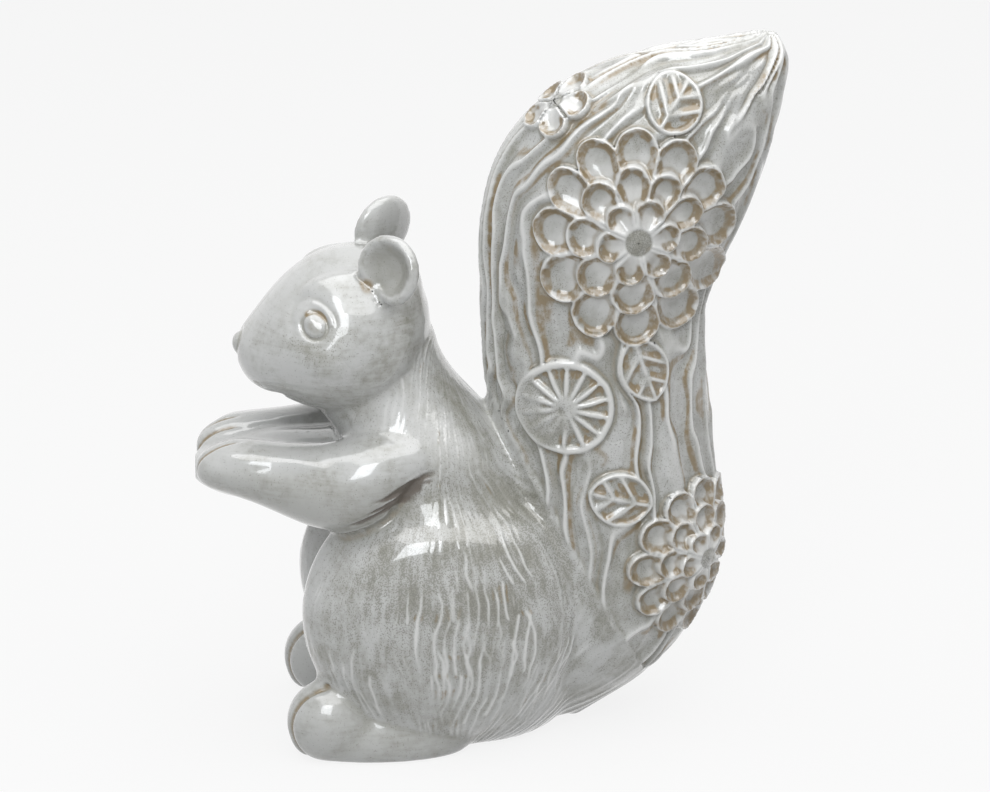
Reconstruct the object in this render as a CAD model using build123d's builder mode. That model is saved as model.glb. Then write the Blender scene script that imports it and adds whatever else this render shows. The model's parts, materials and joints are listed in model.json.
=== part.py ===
"""A glazed stoneware squirrel that sits up with both paws held out, its tall tail
swept up and back behind it. Hollow castings of the body, head and tail meet at flat
luting faces. The arms, hind feet, ears, eyes and nose are luted on, and so are the
sprigs, the moulded flowers and leaves on the tail. Millimetres, +Z up, the face
towards -Y, the squirrel's left towards +X, the origin under the middle of its length.
"""

from build123d import *
from math import cos, pi, radians, sin
import os

# Castings: the clay wall, and the holes that let slip and kiln gas out.
WALL = 5.0
DRAIN_BORE = 5.0
VENT_BORE = 1.4
OVERRUN = 2.0

# Body: a pear that leans forward, from the floor up to the neck.
BODY_FRONT = -55.5
BODY_DEPTH = 92.0
BODY_HEIGHT = 141.0
BODY_WIDTH = 84.0

# Haunches: a round thigh on each side of the body.
HAUNCH_RADIUS = 46.5
HAUNCH_BULGE = 25.0

# Head: an egg that lies on the slanted neck and points forward.
HEAD_LENGTH = 64.0
HEAD_HEIGHT = 57.0
HEAD_WIDTH = 60.0

# Tail: flat from side to side, a swept S seen from the side.
TAIL_DEPTH = 100.0
TAIL_HEIGHT = 240.0
TAIL_WIDTH = 60.0

# Arms: each runs from its shoulder to a paw that meets the other at the middle.
ARM_REACH = 42.0
ARM_LENGTH = 76.0
ARM_HEIGHT = 40.0
ARM_WIDTH = 27.0

# Hind feet.
FOOT_REACH = 14.0
FOOT_LENGTH = 62.0
FOOT_HEIGHT = 27.0
FOOT_WIDTH = 26.0

# Ears: a round cup, open forward and outward.
EAR_RADIUS = 12.0
EAR_THICKNESS = 9.0
EAR_RIM = 2.0
EAR_WALL = 2.5

# Eyes and nose: small balls of clay pressed on to the head.
EYE_RADIUS = 5.5
EYE_RAISE = 1.3
NOSE_RADIUS = 3.2

# Sprigs: how far the lowest layer stands above the tail, and the step from one layer
# to the next.
SPRIG_RAISE = 1.2
SPRIG_STEP = 0.7
DAISY_RIM = 1.6
DAHLIA_RADIUS = 36.0
BACK_DAHLIA_RADIUS = 28.0
DAISY_RADIUS = 16.0
BLOSSOM_RADIUS = 13.0
ROUND_LEAF_RADIUS = 9.0
POINTED_LEAF_LENGTH = 24.0
POINTED_LEAF_WIDTH = 15.0
BROAD_LEAF_LENGTH = 22.0
BROAD_LEAF_WIDTH = 18.0

# Where the forms stand, as shares of the sizes of what carries them: the tail's root
# corner, the tail's seat and a haunch's middle on the body, the head's corner before
# the neck, and a foot's and an arm's place.
TAIL_ROOT_SHARE = 0.576
TAIL_SEAT_SHARES = (0.598, 0.858, 1.304, 0.0)
HAUNCH_PLACE_SHARES = (0.262, 0.418, 0.340)
HEAD_SEAT_SHARES = (0.716, 0.268)
ARM_BASE_SHARE = 0.532
FOOT_PLACE_SHARE = 0.327
ARM_PLACE_SHARE = 0.31

# Places on the head: across, along and up, as shares of half its width, its length and
# its height. The ear also has the direction that its cup opens in.
EAR_PLACE_SHARES = (0.78, 0.77, 0.985)
EAR_NORMAL_SHARES = (0.75, -0.60, 0.20)
EYE_PLACE_SHARES = (0.81, 0.385, 0.685)

# How far the nose's ball is pressed in, as a share of its radius.
NOSE_DEPTH_SHARE = 0.75

# Sections of the lofted forms. Each row has the y and z of the front or top of an
# oval, the y and z of its back or bottom, and its width, as shares of the form's sizes.
BODY_SECTION_SHARES = [
    (0.14, 0.000, 0.84, 0.000, 0.58),
    (0.07, 0.110, 0.96, 0.110, 0.86),
    (0.03, 0.300, 0.96, 0.300, 0.98),
    (0.03, 0.480, 0.87, 0.480, 0.96),
    (0.05, 0.620, 0.76, 0.650, 0.88),
    (0.06, 0.710, 0.62, 0.780, 0.76),
    (0.04, 0.765, 0.49, 0.880, 0.63),
    (-0.01, 0.805, 0.41, 1.000, 0.55),
]

HEAD_SECTION_SHARES = [
    (0.960, 0.800, 0.955, 0.420, 0.34),
    (0.900, 0.900, 0.900, 0.190, 0.66),
    (0.760, 0.975, 0.740, 0.010, 0.92),
    (0.580, 1.000, 0.520, 0.025, 1.00),
    (0.420, 0.955, 0.360, 0.070, 0.95),
    (0.290, 0.865, 0.240, 0.135, 0.82),
    (0.180, 0.745, 0.140, 0.210, 0.63),
    (0.095, 0.625, 0.070, 0.290, 0.43),
    (0.035, 0.530, 0.025, 0.360, 0.24),
]
HEAD_TIP_SHARES = (0.0, 0.45)

TAIL_SECTION_SHARES = [
    (0.02, 0.060, 0.34, 0.003, 0.46),
    (0.03, 0.150, 0.55, 0.068, 0.86),
    (0.04, 0.260, 0.72, 0.152, 1.02),
    (0.04, 0.345, 0.79, 0.228, 1.04),
    (0.03, 0.425, 0.81, 0.312, 1.02),
    (0.02, 0.500, 0.785, 0.410, 0.97),
    (0.01, 0.560, 0.765, 0.520, 0.92),
    (0.00, 0.640, 0.755, 0.615, 0.90),
    (0.00, 0.720, 0.81, 0.690, 0.92),
    (0.03, 0.795, 0.88, 0.755, 0.94),
    (0.10, 0.858, 0.93, 0.815, 0.93),
    (0.25, 0.920, 0.97, 0.868, 0.84),
    (0.47, 0.963, 0.990, 0.917, 0.66),
    (0.70, 0.982, 1.000, 0.950, 0.45),
    (0.86, 0.995, 0.995, 0.973, 0.25),
]
TAIL_TIP_SHARES = (0.945, 1.0)

# The arm also has how far each oval stands out from the middle, as a share of its spread.
ARM_SECTION_SHARES = [
    (1.02, 0.90, 1.02, 0.46, 0.66),
    (0.84, 0.96, 0.84, 0.27, 0.94),
    (0.66, 0.88, 0.62, 0.10, 1.04),
    (0.50, 0.81, 0.45, 0.15, 0.99),
    (0.32, 0.80, 0.29, 0.26, 0.92),
    (0.16, 0.79, 0.14, 0.35, 0.88),
    (0.06, 0.72, 0.05, 0.40, 0.66),
]
ARM_TIP_SHARES = (0.0, 0.56)
ARM_SPREAD_SHARES = [0.78, 0.92, 0.90, 0.75, 0.58, 0.46, 0.42]

# A foot is two stretched balls, the toes and the sole. Each row has the y and z of its
# middle and its three radii, as shares of the foot's length, height and width.
FOOT_BALL_SHARES = [
    (0.25, 0.44, 0.250, 0.56, 0.50),
    (0.52, 0.22, 0.500, 0.46, 0.48),
]

# Sprigs on the tail: where each one's axis meets the middle plane, as shares of the
# tail's depth and height, and the angle of a leaf's midrib, from +Y towards +Z.
DAHLIA_PLACE_SHARES = (0.49, 0.742)
DAISY_PLACE_SHARES = (0.265, 0.504)
ROUND_LEAF_PLACE_SHARES = (0.61, 0.922)
POINTED_LEAF_PLACE_SHARES = (0.52, 0.555)
BROAD_LEAF_PLACE_SHARES = (0.445, 0.373)
BACK_DAHLIA_PLACE_SHARES = (0.577, 0.267)
BLOSSOM_PLACE_SHARES = (0.338, 0.872)
ROUND_LEAF_TURN = 55.0
POINTED_LEAF_TURN = 290.0
BROAD_LEAF_TURN = 165.0

# The back dahlia's axis is turned about Z from +X. The blossom's axis leans out from
# the middle plane, and its petals lie along the slope of the tail's front edge.
BACK_DAHLIA_SWING = 40.0
BLOSSOM_LEAN = 30.0
BLOSSOM_SLOPE = 45.0

# Rings of petals, from the lowest to the highest: how many petals, the angle of the
# first, and how far the ring reaches as a share of the flower's radius. A petal is a
# little wider than its share of the ring.
DAHLIA_RING_SHARES = [(12, 90.0, 1.0), (9, 95.0, 0.69), (6, 6.0, 0.41)]
BLOSSOM_RING_SHARES = [(5, 18.0, 1.0)]
DAISY_RING_SHARES = [(12, 0.0, 1.0)]
BUTTON_SHARE = 0.13
BLOSSOM_BUTTON_SHARE = 0.24
DAISY_BUTTON_SHARE = 0.20
PETAL_WIDTH_SHARE = 1.05

# Leaves: the midrib's and the side veins' width, and the angle between them.
MIDRIB_WIDTH = 1.8
VEIN_WIDTH = 1.2
VEIN_TURN = 50.0
VEIN_PLACE_SHARES = (0.32, 0.58)


def section_plane(front, back, across=0.0):
    """The plane of the oval between two points of the side view."""
    middle = ((front[0] + back[0]) / 2, (front[1] + back[1]) / 2)
    run = (back[0] - front[0], back[1] - front[1])
    return Plane(
        origin=(across, middle[0], middle[1]),
        x_dir=(0, run[0], run[1]),
        z_dir=(0, -run[1], run[0]),
    )


def ovals(shares, corner, depth, height, width, growth=0.0, spreads=None):
    """Sketches of a form's ovals, all larger by growth, or smaller where it is below
    zero. An oval that would be left too small is dropped."""
    sketches = []
    for index, (front_y, front_z, back_y, back_z, wide) in enumerate(shares):
        front = (corner[0] + front_y * depth, corner[1] + front_z * height)
        back = (corner[0] + back_y * depth, corner[1] + back_z * height)
        run = ((back[0] - front[0]) ** 2 + (back[1] - front[1]) ** 2) ** 0.5
        across = spreads[index] if spreads else 0.0
        depth_radius = run / 2 + growth
        width_radius = wide * width / 2 + growth
        if min(depth_radius, width_radius) > abs(growth) / 2:
            with BuildSketch(section_plane(front, back, across)) as oval:
                Ellipse(depth_radius, width_radius)
            sketches.append(oval.sketch)
    return sketches


def tip_point(tip_shares, corner, depth, height, across=0.0):
    """The point that closes the end of a form."""
    return Vertex(across, corner[0] + tip_shares[0] * depth, corner[1] + tip_shares[1] * height)


# Places worked out from the sizes above.
FLOOR = Plane.XY
BODY_CORNER = (BODY_FRONT, 0.0)
TAIL_CORNER = (BODY_FRONT + TAIL_ROOT_SHARE * BODY_DEPTH, 0.0)
ARM_CORNER = (BODY_FRONT - ARM_REACH, ARM_BASE_SHARE * BODY_HEIGHT)
FOOT_CORNER = (BODY_FRONT - FOOT_REACH, 0.0)
FOOT_SPREAD = FOOT_PLACE_SHARE * BODY_WIDTH
ARM_SPREAD = ARM_PLACE_SHARE * BODY_WIDTH
NECK_SHARES = BODY_SECTION_SHARES[-1]
NECK_FRONT = (BODY_FRONT + NECK_SHARES[0] * BODY_DEPTH, NECK_SHARES[1] * BODY_HEIGHT)
NECK_BACK = (BODY_FRONT + NECK_SHARES[2] * BODY_DEPTH, NECK_SHARES[3] * BODY_HEIGHT)
NECK_SEAT = section_plane(NECK_FRONT, NECK_BACK)
HEAD_CORNER = (
    NECK_SEAT.origin.Y - HEAD_SEAT_SHARES[0] * HEAD_LENGTH,
    NECK_SEAT.origin.Z - HEAD_SEAT_SHARES[1] * HEAD_HEIGHT,
)
SEAT_TOP = (BODY_FRONT + TAIL_SEAT_SHARES[0] * BODY_DEPTH, TAIL_SEAT_SHARES[1] * BODY_HEIGHT)
SEAT_FOOT = (BODY_FRONT + TAIL_SEAT_SHARES[2] * BODY_DEPTH, TAIL_SEAT_SHARES[3] * BODY_HEIGHT)
TAIL_SEAT = section_plane(SEAT_TOP, SEAT_FOOT)
HAUNCH_SPREAD = HAUNCH_PLACE_SHARES[0] * BODY_WIDTH
HAUNCH_MIDDLE = (
    BODY_FRONT + HAUNCH_PLACE_SHARES[1] * BODY_DEPTH,
    HAUNCH_PLACE_SHARES[2] * BODY_HEIGHT,
)


def tail_skin(growth):
    """The tail's outer form, larger all round by growth, with a closed tip."""
    sketches = ovals(TAIL_SECTION_SHARES, TAIL_CORNER, TAIL_DEPTH, TAIL_HEIGHT, TAIL_WIDTH, growth)
    with BuildPart() as skin:
        if growth < 0:
            loft(sketches)
        else:
            loft([*sketches, tip_point(TAIL_TIP_SHARES, TAIL_CORNER, TAIL_DEPTH, TAIL_HEIGHT)])
    return skin.part


def torso(growth):
    """The pear of the body, without haunches or tail root."""
    with BuildPart() as pear:
        loft(ovals(BODY_SECTION_SHARES, BODY_CORNER, BODY_DEPTH, BODY_HEIGHT, BODY_WIDTH, growth))
    return pear.part


def ball(place, radii):
    """A ball stretched to its three radii along the axes of a plane."""
    with BuildPart() as unit:
        Sphere(1)
        scale(by=radii)
    return place * unit.part


def haunch(side, growth):
    """The flattened ball of one thigh."""
    middle = Plane((side * HAUNCH_SPREAD, *HAUNCH_MIDDLE))
    radius = HAUNCH_RADIUS + growth
    return ball(middle, (HAUNCH_BULGE + growth, radius, radius))


def skull(growth):
    """The egg of the head, before the neck is cut."""
    sketches = ovals(HEAD_SECTION_SHARES, HEAD_CORNER, HEAD_LENGTH, HEAD_HEIGHT, HEAD_WIDTH, growth)
    with BuildPart() as egg:
        if growth < 0:
            loft(sketches)
        else:
            loft([*sketches, tip_point(HEAD_TIP_SHARES, HEAD_CORNER, HEAD_LENGTH, HEAD_HEIGHT)])
    return egg.part


def body(growth):
    """The torso, haunches and tail root in one, cut at the floor and at both seats."""
    tail = tail_skin(growth)
    pear = torso(growth)
    thighs = [haunch(side, growth) for side in (1, -1)]
    with BuildPart() as root:
        add(tail)
        split(bisect_by=TAIL_SEAT.offset(growth), keep=Keep.BOTTOM)
    with BuildPart() as whole:
        add(pear)
        for thigh in thighs:
            add(thigh)
        add(root.part)
        split(bisect_by=FLOOR.offset(-growth), keep=Keep.TOP)
        split(bisect_by=NECK_SEAT.offset(growth), keep=Keep.BOTTOM)
    return whole.part


tail_form = tail_skin(0.0)
tail_inside = tail_skin(-WALL)
head_form = skull(0.0)
head_inside = skull(-WALL)
body_form = body(0.0)
body_inside = body(-WALL)

# Body, hollow, with a drain hole in the floor and a vent in each seat.
with BuildPart() as body_shell:
    add(body_form)
    with BuildSketch(FLOOR):
        with Locations((0, BODY_FRONT + BODY_DEPTH / 2)):
            Circle(DRAIN_BORE)
    extrude(amount=WALL + OVERRUN, mode=Mode.SUBTRACT)
    with BuildSketch(NECK_SEAT, TAIL_SEAT):
        Circle(VENT_BORE)
    extrude(amount=-WALL - OVERRUN, mode=Mode.SUBTRACT)
    add(body_inside, mode=Mode.SUBTRACT)

# Head, hollow, closed at the neck but for the vent.
with BuildPart() as head_hollow:
    add(head_inside)
    split(bisect_by=NECK_SEAT.offset(WALL), keep=Keep.TOP)

with BuildPart() as head_shell:
    add(head_form)
    split(bisect_by=NECK_SEAT, keep=Keep.TOP)
    with BuildSketch(NECK_SEAT):
        Circle(VENT_BORE)
    extrude(amount=WALL + OVERRUN, mode=Mode.SUBTRACT)
    add(head_hollow.part, mode=Mode.SUBTRACT)

# Tail, hollow, closed at its seat but for the vent.
with BuildPart() as tail_hollow:
    add(tail_inside)
    split(bisect_by=TAIL_SEAT.offset(WALL), keep=Keep.TOP)

with BuildPart() as tail_shell:
    add(tail_form)
    split(bisect_by=TAIL_SEAT, keep=Keep.TOP)
    split(bisect_by=FLOOR, keep=Keep.TOP)
    with BuildSketch(TAIL_SEAT):
        Circle(VENT_BORE)
    extrude(amount=WALL + OVERRUN, mode=Mode.SUBTRACT)
    add(tail_hollow.part, mode=Mode.SUBTRACT)


# Arms, solid, luted to the body and to each other at the paws.
arm_spreads = [share * ARM_SPREAD for share in ARM_SPREAD_SHARES]
arm_ovals = ovals(
    ARM_SECTION_SHARES, ARM_CORNER, ARM_LENGTH, ARM_HEIGHT, ARM_WIDTH, spreads=arm_spreads
)
paw_tip = tip_point(ARM_TIP_SHARES, ARM_CORNER, ARM_LENGTH, ARM_HEIGHT, arm_spreads[-1])

with BuildPart() as left_arm:
    loft([*arm_ovals, paw_tip])
    split(bisect_by=Plane.YZ, keep=Keep.TOP)
    add(body_form, mode=Mode.SUBTRACT)
    add(head_form, mode=Mode.SUBTRACT)

with BuildPart() as right_arm:
    mirror(left_arm.part, about=Plane.YZ)

# Hind feet, solid, flat on the floor: the balls of the toes and of the sole.
foot_balls = []
for along, up, long, tall, wide in FOOT_BALL_SHARES:
    middle = Plane((FOOT_SPREAD, FOOT_CORNER[0] + along * FOOT_LENGTH, FOOT_CORNER[1] + up * FOOT_HEIGHT))
    foot_balls.append(ball(middle, (wide * FOOT_WIDTH, long * FOOT_LENGTH, tall * FOOT_HEIGHT)))

with BuildPart() as left_foot:
    add(foot_balls)
    split(bisect_by=FLOOR, keep=Keep.TOP)
    add(body_form, mode=Mode.SUBTRACT)

with BuildPart() as right_foot:
    mirror(left_foot.part, about=Plane.YZ)


def head_place(shares):
    """A point on the left of the head, from shares of its half width, length and height."""
    return Vector(
        shares[0] * HEAD_WIDTH / 2,
        HEAD_CORNER[0] + shares[1] * HEAD_LENGTH,
        HEAD_CORNER[1] + shares[2] * HEAD_HEIGHT,
    )


# Ears: a flattened ball with a round dish, whose rim stays EAR_RIM wide.
EAR_PLACE = Plane(head_place(EAR_PLACE_SHARES), z_dir=Vector(*EAR_NORMAL_SHARES))
EAR_MOUTH = EAR_RADIUS - EAR_RIM
EAR_MOUTH_RISE = EAR_THICKNESS / 2 * (1 - (EAR_MOUTH / EAR_RADIUS) ** 2) ** 0.5
EAR_DISH_DEPTH = EAR_MOUTH_RISE + EAR_THICKNESS / 2 - EAR_WALL
EAR_DISH_RADIUS = (EAR_MOUTH ** 2 + EAR_DISH_DEPTH ** 2) / (2 * EAR_DISH_DEPTH)
ear_disc = ball(EAR_PLACE, (EAR_RADIUS, EAR_RADIUS, EAR_THICKNESS / 2))

with BuildPart() as left_ear:
    add(ear_disc)
    with Locations(EAR_PLACE.offset(EAR_MOUTH_RISE - EAR_DISH_DEPTH + EAR_DISH_RADIUS)):
        Sphere(EAR_DISH_RADIUS, mode=Mode.SUBTRACT)
    add(head_form, mode=Mode.SUBTRACT)

with BuildPart() as right_ear:
    mirror(left_ear.part, about=Plane.YZ)

# Eyes and nose: caps of small balls that stand out of the head.
EYE_MIDDLE = head_place(EYE_PLACE_SHARES)

with BuildPart() as left_eye:
    with Locations(EYE_MIDDLE - Vector(EYE_RADIUS - EYE_RAISE, 0, 0)):
        Sphere(EYE_RADIUS)
    add(head_form, mode=Mode.SUBTRACT)

with BuildPart() as right_eye:
    mirror(left_eye.part, about=Plane.YZ)

NOSE_MIDDLE = head_place((0.0, *HEAD_TIP_SHARES)) + Vector(0, NOSE_RADIUS * NOSE_DEPTH_SHARE, 0)

with BuildPart() as nose:
    with Locations(NOSE_MIDDLE):
        Sphere(NOSE_RADIUS)
    add(head_form, mode=Mode.SUBTRACT)


def petals(count, turn, radius):
    """A ring of round petals on a disc, added to the sketch that is open."""
    half = sin(pi / count)
    petal_radius = radius * half / (1 + half)
    Circle(radius - petal_radius)
    with PolarLocations(radius - petal_radius, count, start_angle=turn):
        Circle(petal_radius * PETAL_WIDTH_SHARE)


def flower_layers(middle, radius, ring_shares, button_share):
    """The outlines of a flower's rings and of its button, from the lowest up."""
    layers = []
    for count, turn, reach_share in ring_shares:
        with BuildSketch() as ring:
            with Locations(middle):
                petals(count, turn, radius * reach_share)
        layers.append(ring.sketch)
    with BuildSketch() as button:
        with Locations(middle):
            Circle(radius * button_share)
    layers.append(button.sketch)
    return layers


def leaf_layers(middle, turn, length, width, cover=None):
    """The outlines of a leaf and of its veins. A cover is an outline that lies over it."""
    bulge = width / 2
    tip = length / 2
    with BuildSketch() as blade:
        with Locations(Location((*middle, 0), (0, 0, turn))):
            with BuildLine(mode=Mode.PRIVATE) as edge:
                ThreePointArc((-tip, 0), (0, bulge), (tip, 0))
                ThreePointArc((tip, 0), (0, -bulge), (-tip, 0))
            add(make_face(edge.edges(), mode=Mode.PRIVATE))
        if cover:
            add(cover, mode=Mode.SUBTRACT)
    with BuildSketch() as veins:
        with Locations(Location((*middle, 0), (0, 0, turn))):
            Rectangle(length, MIDRIB_WIDTH)
            for share in VEIN_PLACE_SHARES:
                for side in (1, -1):
                    with Locations(Location((share * length - tip, 0), (0, 0, side * VEIN_TURN))):
                        Rectangle(width, VEIN_WIDTH, align=(Align.MIN, Align.CENTER))
        add(blade.sketch, mode=Mode.INTERSECT)
    return [blade.sketch, veins.sketch]


SKINS = {}


def skin(rise):
    """The tail grown by a rise, made once for each rise."""
    if rise not in SKINS:
        SKINS[rise] = tail_skin(rise)
    return SKINS[rise]


def sprig(place, layers, neighbours=()):
    """Layers of clay on the tail, each a step higher than the one below it. A layer's
    outline is a sketch on the place."""
    pads = []
    for level, outline in enumerate(layers):
        level_skin = skin(SPRIG_RAISE + level * SPRIG_STEP)
        with BuildPart() as pad:
            with BuildSketch(place):
                add(outline)
            extrude(amount=TAIL_WIDTH)
            add(level_skin, mode=Mode.INTERSECT)
        pads.append(pad.part)
    with BuildPart() as whole:
        for piece in pads:
            add(piece)
        add(tail_form, mode=Mode.SUBTRACT)
        for neighbour in neighbours:
            add(neighbour, mode=Mode.SUBTRACT)
    return whole.part


def tail_point(shares):
    """A point of the tail's side view, from shares of its depth and height."""
    return (TAIL_CORNER[0] + shares[0] * TAIL_DEPTH, TAIL_CORNER[1] + shares[1] * TAIL_HEIGHT)


# Sprigs on the tail's left side share one plane, whose own axes are +Y and +Z.
SIDE = Plane.YZ

dahlia_layers = flower_layers(
    tail_point(DAHLIA_PLACE_SHARES), DAHLIA_RADIUS, DAHLIA_RING_SHARES, BUTTON_SHARE
)
dahlia_form = sprig(SIDE, dahlia_layers)

with BuildPart() as left_dahlia:
    add(dahlia_form)

with BuildPart() as right_dahlia:
    mirror(left_dahlia.part, about=Plane.YZ)

# Daisies: a flat disc with a ring of petals inside its rim.
DAISY_MIDDLE = tail_point(DAISY_PLACE_SHARES)

with BuildSketch() as daisy_disc:
    with Locations(DAISY_MIDDLE):
        Circle(DAISY_RADIUS)

daisy_petals = flower_layers(
    DAISY_MIDDLE, DAISY_RADIUS - DAISY_RIM, DAISY_RING_SHARES, DAISY_BUTTON_SHARE
)
daisy_form = sprig(SIDE, [daisy_disc.sketch, *daisy_petals])

with BuildPart() as left_daisy:
    add(daisy_form)

with BuildPart() as right_daisy:
    mirror(left_daisy.part, about=Plane.YZ)

# Round and pointed leaves, tucked under the edge of the dahlia.
ROUND_LEAF_LENGTH = 2 * ROUND_LEAF_RADIUS
round_leaf_layers = leaf_layers(
    tail_point(ROUND_LEAF_PLACE_SHARES),
    ROUND_LEAF_TURN,
    ROUND_LEAF_LENGTH,
    ROUND_LEAF_LENGTH,
    dahlia_layers[0],
)
round_leaf_form = sprig(SIDE, round_leaf_layers)

with BuildPart() as left_round_leaf:
    add(round_leaf_form)

with BuildPart() as right_round_leaf:
    mirror(left_round_leaf.part, about=Plane.YZ)

pointed_leaf_layers = leaf_layers(
    tail_point(POINTED_LEAF_PLACE_SHARES),
    POINTED_LEAF_TURN,
    POINTED_LEAF_LENGTH,
    POINTED_LEAF_WIDTH,
    dahlia_layers[0],
)
pointed_leaf_form = sprig(SIDE, pointed_leaf_layers)

with BuildPart() as left_pointed_leaf:
    add(pointed_leaf_form)

with BuildPart() as right_pointed_leaf:
    mirror(left_pointed_leaf.part, about=Plane.YZ)

# Back dahlia, which bends round the tail's back edge.
BACK_AXIS = (cos(radians(BACK_DAHLIA_SWING)), sin(radians(BACK_DAHLIA_SWING)), 0)
BACK_PLACE = Plane(
    (0, *tail_point(BACK_DAHLIA_PLACE_SHARES)),
    x_dir=(-BACK_AXIS[1], BACK_AXIS[0], 0),
    z_dir=BACK_AXIS,
)
back_layers = flower_layers((0, 0), BACK_DAHLIA_RADIUS, DAHLIA_RING_SHARES, BUTTON_SHARE)
back_form = sprig(BACK_PLACE, back_layers)

with BuildPart() as back_dahlia:
    add(back_form)

# Broad leaves, beside the back dahlia and under its edge.
broad_leaf_layers = leaf_layers(
    tail_point(BROAD_LEAF_PLACE_SHARES), BROAD_LEAF_TURN, BROAD_LEAF_LENGTH, BROAD_LEAF_WIDTH
)
broad_leaf_form = sprig(SIDE, broad_leaf_layers, [back_form])

with BuildPart() as left_broad_leaf:
    add(broad_leaf_form)

with BuildPart() as right_broad_leaf:
    mirror(left_broad_leaf.part, about=Plane.YZ)

# Blossom, on the tail's front edge near the top.
SLOPE = (cos(radians(BLOSSOM_SLOPE)), sin(radians(BLOSSOM_SLOPE)))
LEAN = (cos(radians(BLOSSOM_LEAN)), sin(radians(BLOSSOM_LEAN)))
BLOSSOM_PLACE = Plane(
    (0, *tail_point(BLOSSOM_PLACE_SHARES)),
    x_dir=(0, SLOPE[0], SLOPE[1]),
    z_dir=(LEAN[1], -LEAN[0] * SLOPE[1], LEAN[0] * SLOPE[0]),
)
blossom_layers = flower_layers((0, 0), BLOSSOM_RADIUS, BLOSSOM_RING_SHARES, BLOSSOM_BUTTON_SHARE)
blossom_form = sprig(BLOSSOM_PLACE, blossom_layers, [dahlia_form])

with BuildPart() as blossom:
    add(blossom_form)


pieces = {
    "body_shell": body_shell,
    "head_shell": head_shell,
    "tail_shell": tail_shell,
    "left_arm": left_arm,
    "right_arm": right_arm,
    "left_foot": left_foot,
    "right_foot": right_foot,
    "left_ear": left_ear,
    "right_ear": right_ear,
    "left_eye": left_eye,
    "right_eye": right_eye,
    "nose": nose,
    "left_dahlia": left_dahlia,
    "right_dahlia": right_dahlia,
    "left_daisy": left_daisy,
    "right_daisy": right_daisy,
    "left_round_leaf": left_round_leaf,
    "right_round_leaf": right_round_leaf,
    "left_pointed_leaf": left_pointed_leaf,
    "right_pointed_leaf": right_pointed_leaf,
    "left_broad_leaf": left_broad_leaf,
    "right_broad_leaf": right_broad_leaf,
    "back_dahlia": back_dahlia,
    "blossom": blossom,
}

os.makedirs("parts", exist_ok=True)
for name, piece in pieces.items():
    piece.part.label = name
    export_step(piece.part, f"parts/{name}.step")
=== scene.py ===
"""A glazed stoneware squirrel. The clay forms are merged into one soft skin, its relief of
fur, tail locks, flowers and leaves is raised in the mesh, and a runny grey-white glaze
breaks white on the ridges and pools ochre beside them. Metres, the part's own frame;
reliefs are worked out in millimetres.
"""

import json
from math import cos, pi, radians, sin

import bpy
import numpy as np
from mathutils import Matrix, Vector
from mathutils.bvhtree import BVHTree


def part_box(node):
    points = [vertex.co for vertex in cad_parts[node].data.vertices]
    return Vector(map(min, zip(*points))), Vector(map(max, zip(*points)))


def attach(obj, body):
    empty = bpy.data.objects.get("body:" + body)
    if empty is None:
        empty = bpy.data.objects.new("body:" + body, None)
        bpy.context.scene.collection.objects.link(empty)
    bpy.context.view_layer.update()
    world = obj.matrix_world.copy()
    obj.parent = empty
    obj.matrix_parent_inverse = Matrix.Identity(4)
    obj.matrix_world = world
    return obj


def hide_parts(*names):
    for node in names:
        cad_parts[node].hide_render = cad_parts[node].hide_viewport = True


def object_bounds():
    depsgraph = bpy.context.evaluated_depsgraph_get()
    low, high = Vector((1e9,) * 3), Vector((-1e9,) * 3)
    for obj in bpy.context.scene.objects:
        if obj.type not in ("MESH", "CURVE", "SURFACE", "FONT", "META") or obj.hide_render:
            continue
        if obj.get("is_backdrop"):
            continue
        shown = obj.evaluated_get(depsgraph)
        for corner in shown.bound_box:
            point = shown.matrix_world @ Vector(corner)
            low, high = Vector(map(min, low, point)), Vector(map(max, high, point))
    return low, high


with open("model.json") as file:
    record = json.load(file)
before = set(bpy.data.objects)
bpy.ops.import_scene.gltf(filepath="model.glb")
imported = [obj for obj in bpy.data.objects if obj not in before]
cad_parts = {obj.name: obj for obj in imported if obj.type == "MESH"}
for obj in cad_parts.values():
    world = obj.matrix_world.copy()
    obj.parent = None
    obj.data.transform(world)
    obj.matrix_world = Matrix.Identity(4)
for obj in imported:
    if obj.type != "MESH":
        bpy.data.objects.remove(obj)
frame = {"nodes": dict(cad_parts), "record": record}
cad_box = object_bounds()
bpy.context.scene.view_settings.view_transform = "Standard"

MM = 0.001

# The photograph's camera: where it looks from, how far, and at what.
CAMERA_AZIMUTH = radians(86)
CAMERA_ELEVATION = radians(20)
CAMERA_DISTANCE = 1.25
CAMERA_TARGET = Vector((0, 0.0025, 0.116))
CAMERA_LENS = 136.36
SENSOR_WIDTH = 36

# Each softbox's azimuth and elevation in degrees, distance, size, strength and colour, the
# brightness of the room's walls, and the floor.
WINDOW = (72, 33, 1.5, (0.62, 0.60), 6.6, (0.93, 0.965, 1.0))
OVERHEAD = (110, 80, 1.5, (2.2, 2.2), 2.6, (1.0, 1.0, 1.0))
ROOM_LIGHT = 0.14
PLAIN_WHITE = (1, 1, 1, 1)
FLOOR_SIZE = 12
FLOOR_TONES = ((0.54, 0.54, 0.54, 1), (0.56, 0.56, 0.56, 1))
FLOOR_GLOW = 0.86

# Clay: the grain of the merged skin, how often and how much its valleys are rubbed soft,
# how much of that the thin ears, eyes and nose take, and how often a copy of the skin is
# rubbed to find its hollows.
CLAY_GRAIN = 1.0 * MM
JOIN_RUBS = 18
RUB_STRENGTH = 0.5
FINE_SHARE = 0.12
HOLLOW_RUBS = 9

# The plug in the drain hole, and how far from a form the skin still measures its gap.
PLUG_RADIUS = 7 * MM
PLUG_HEIGHT = 2 * MM
REACH = 12 * MM

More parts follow.
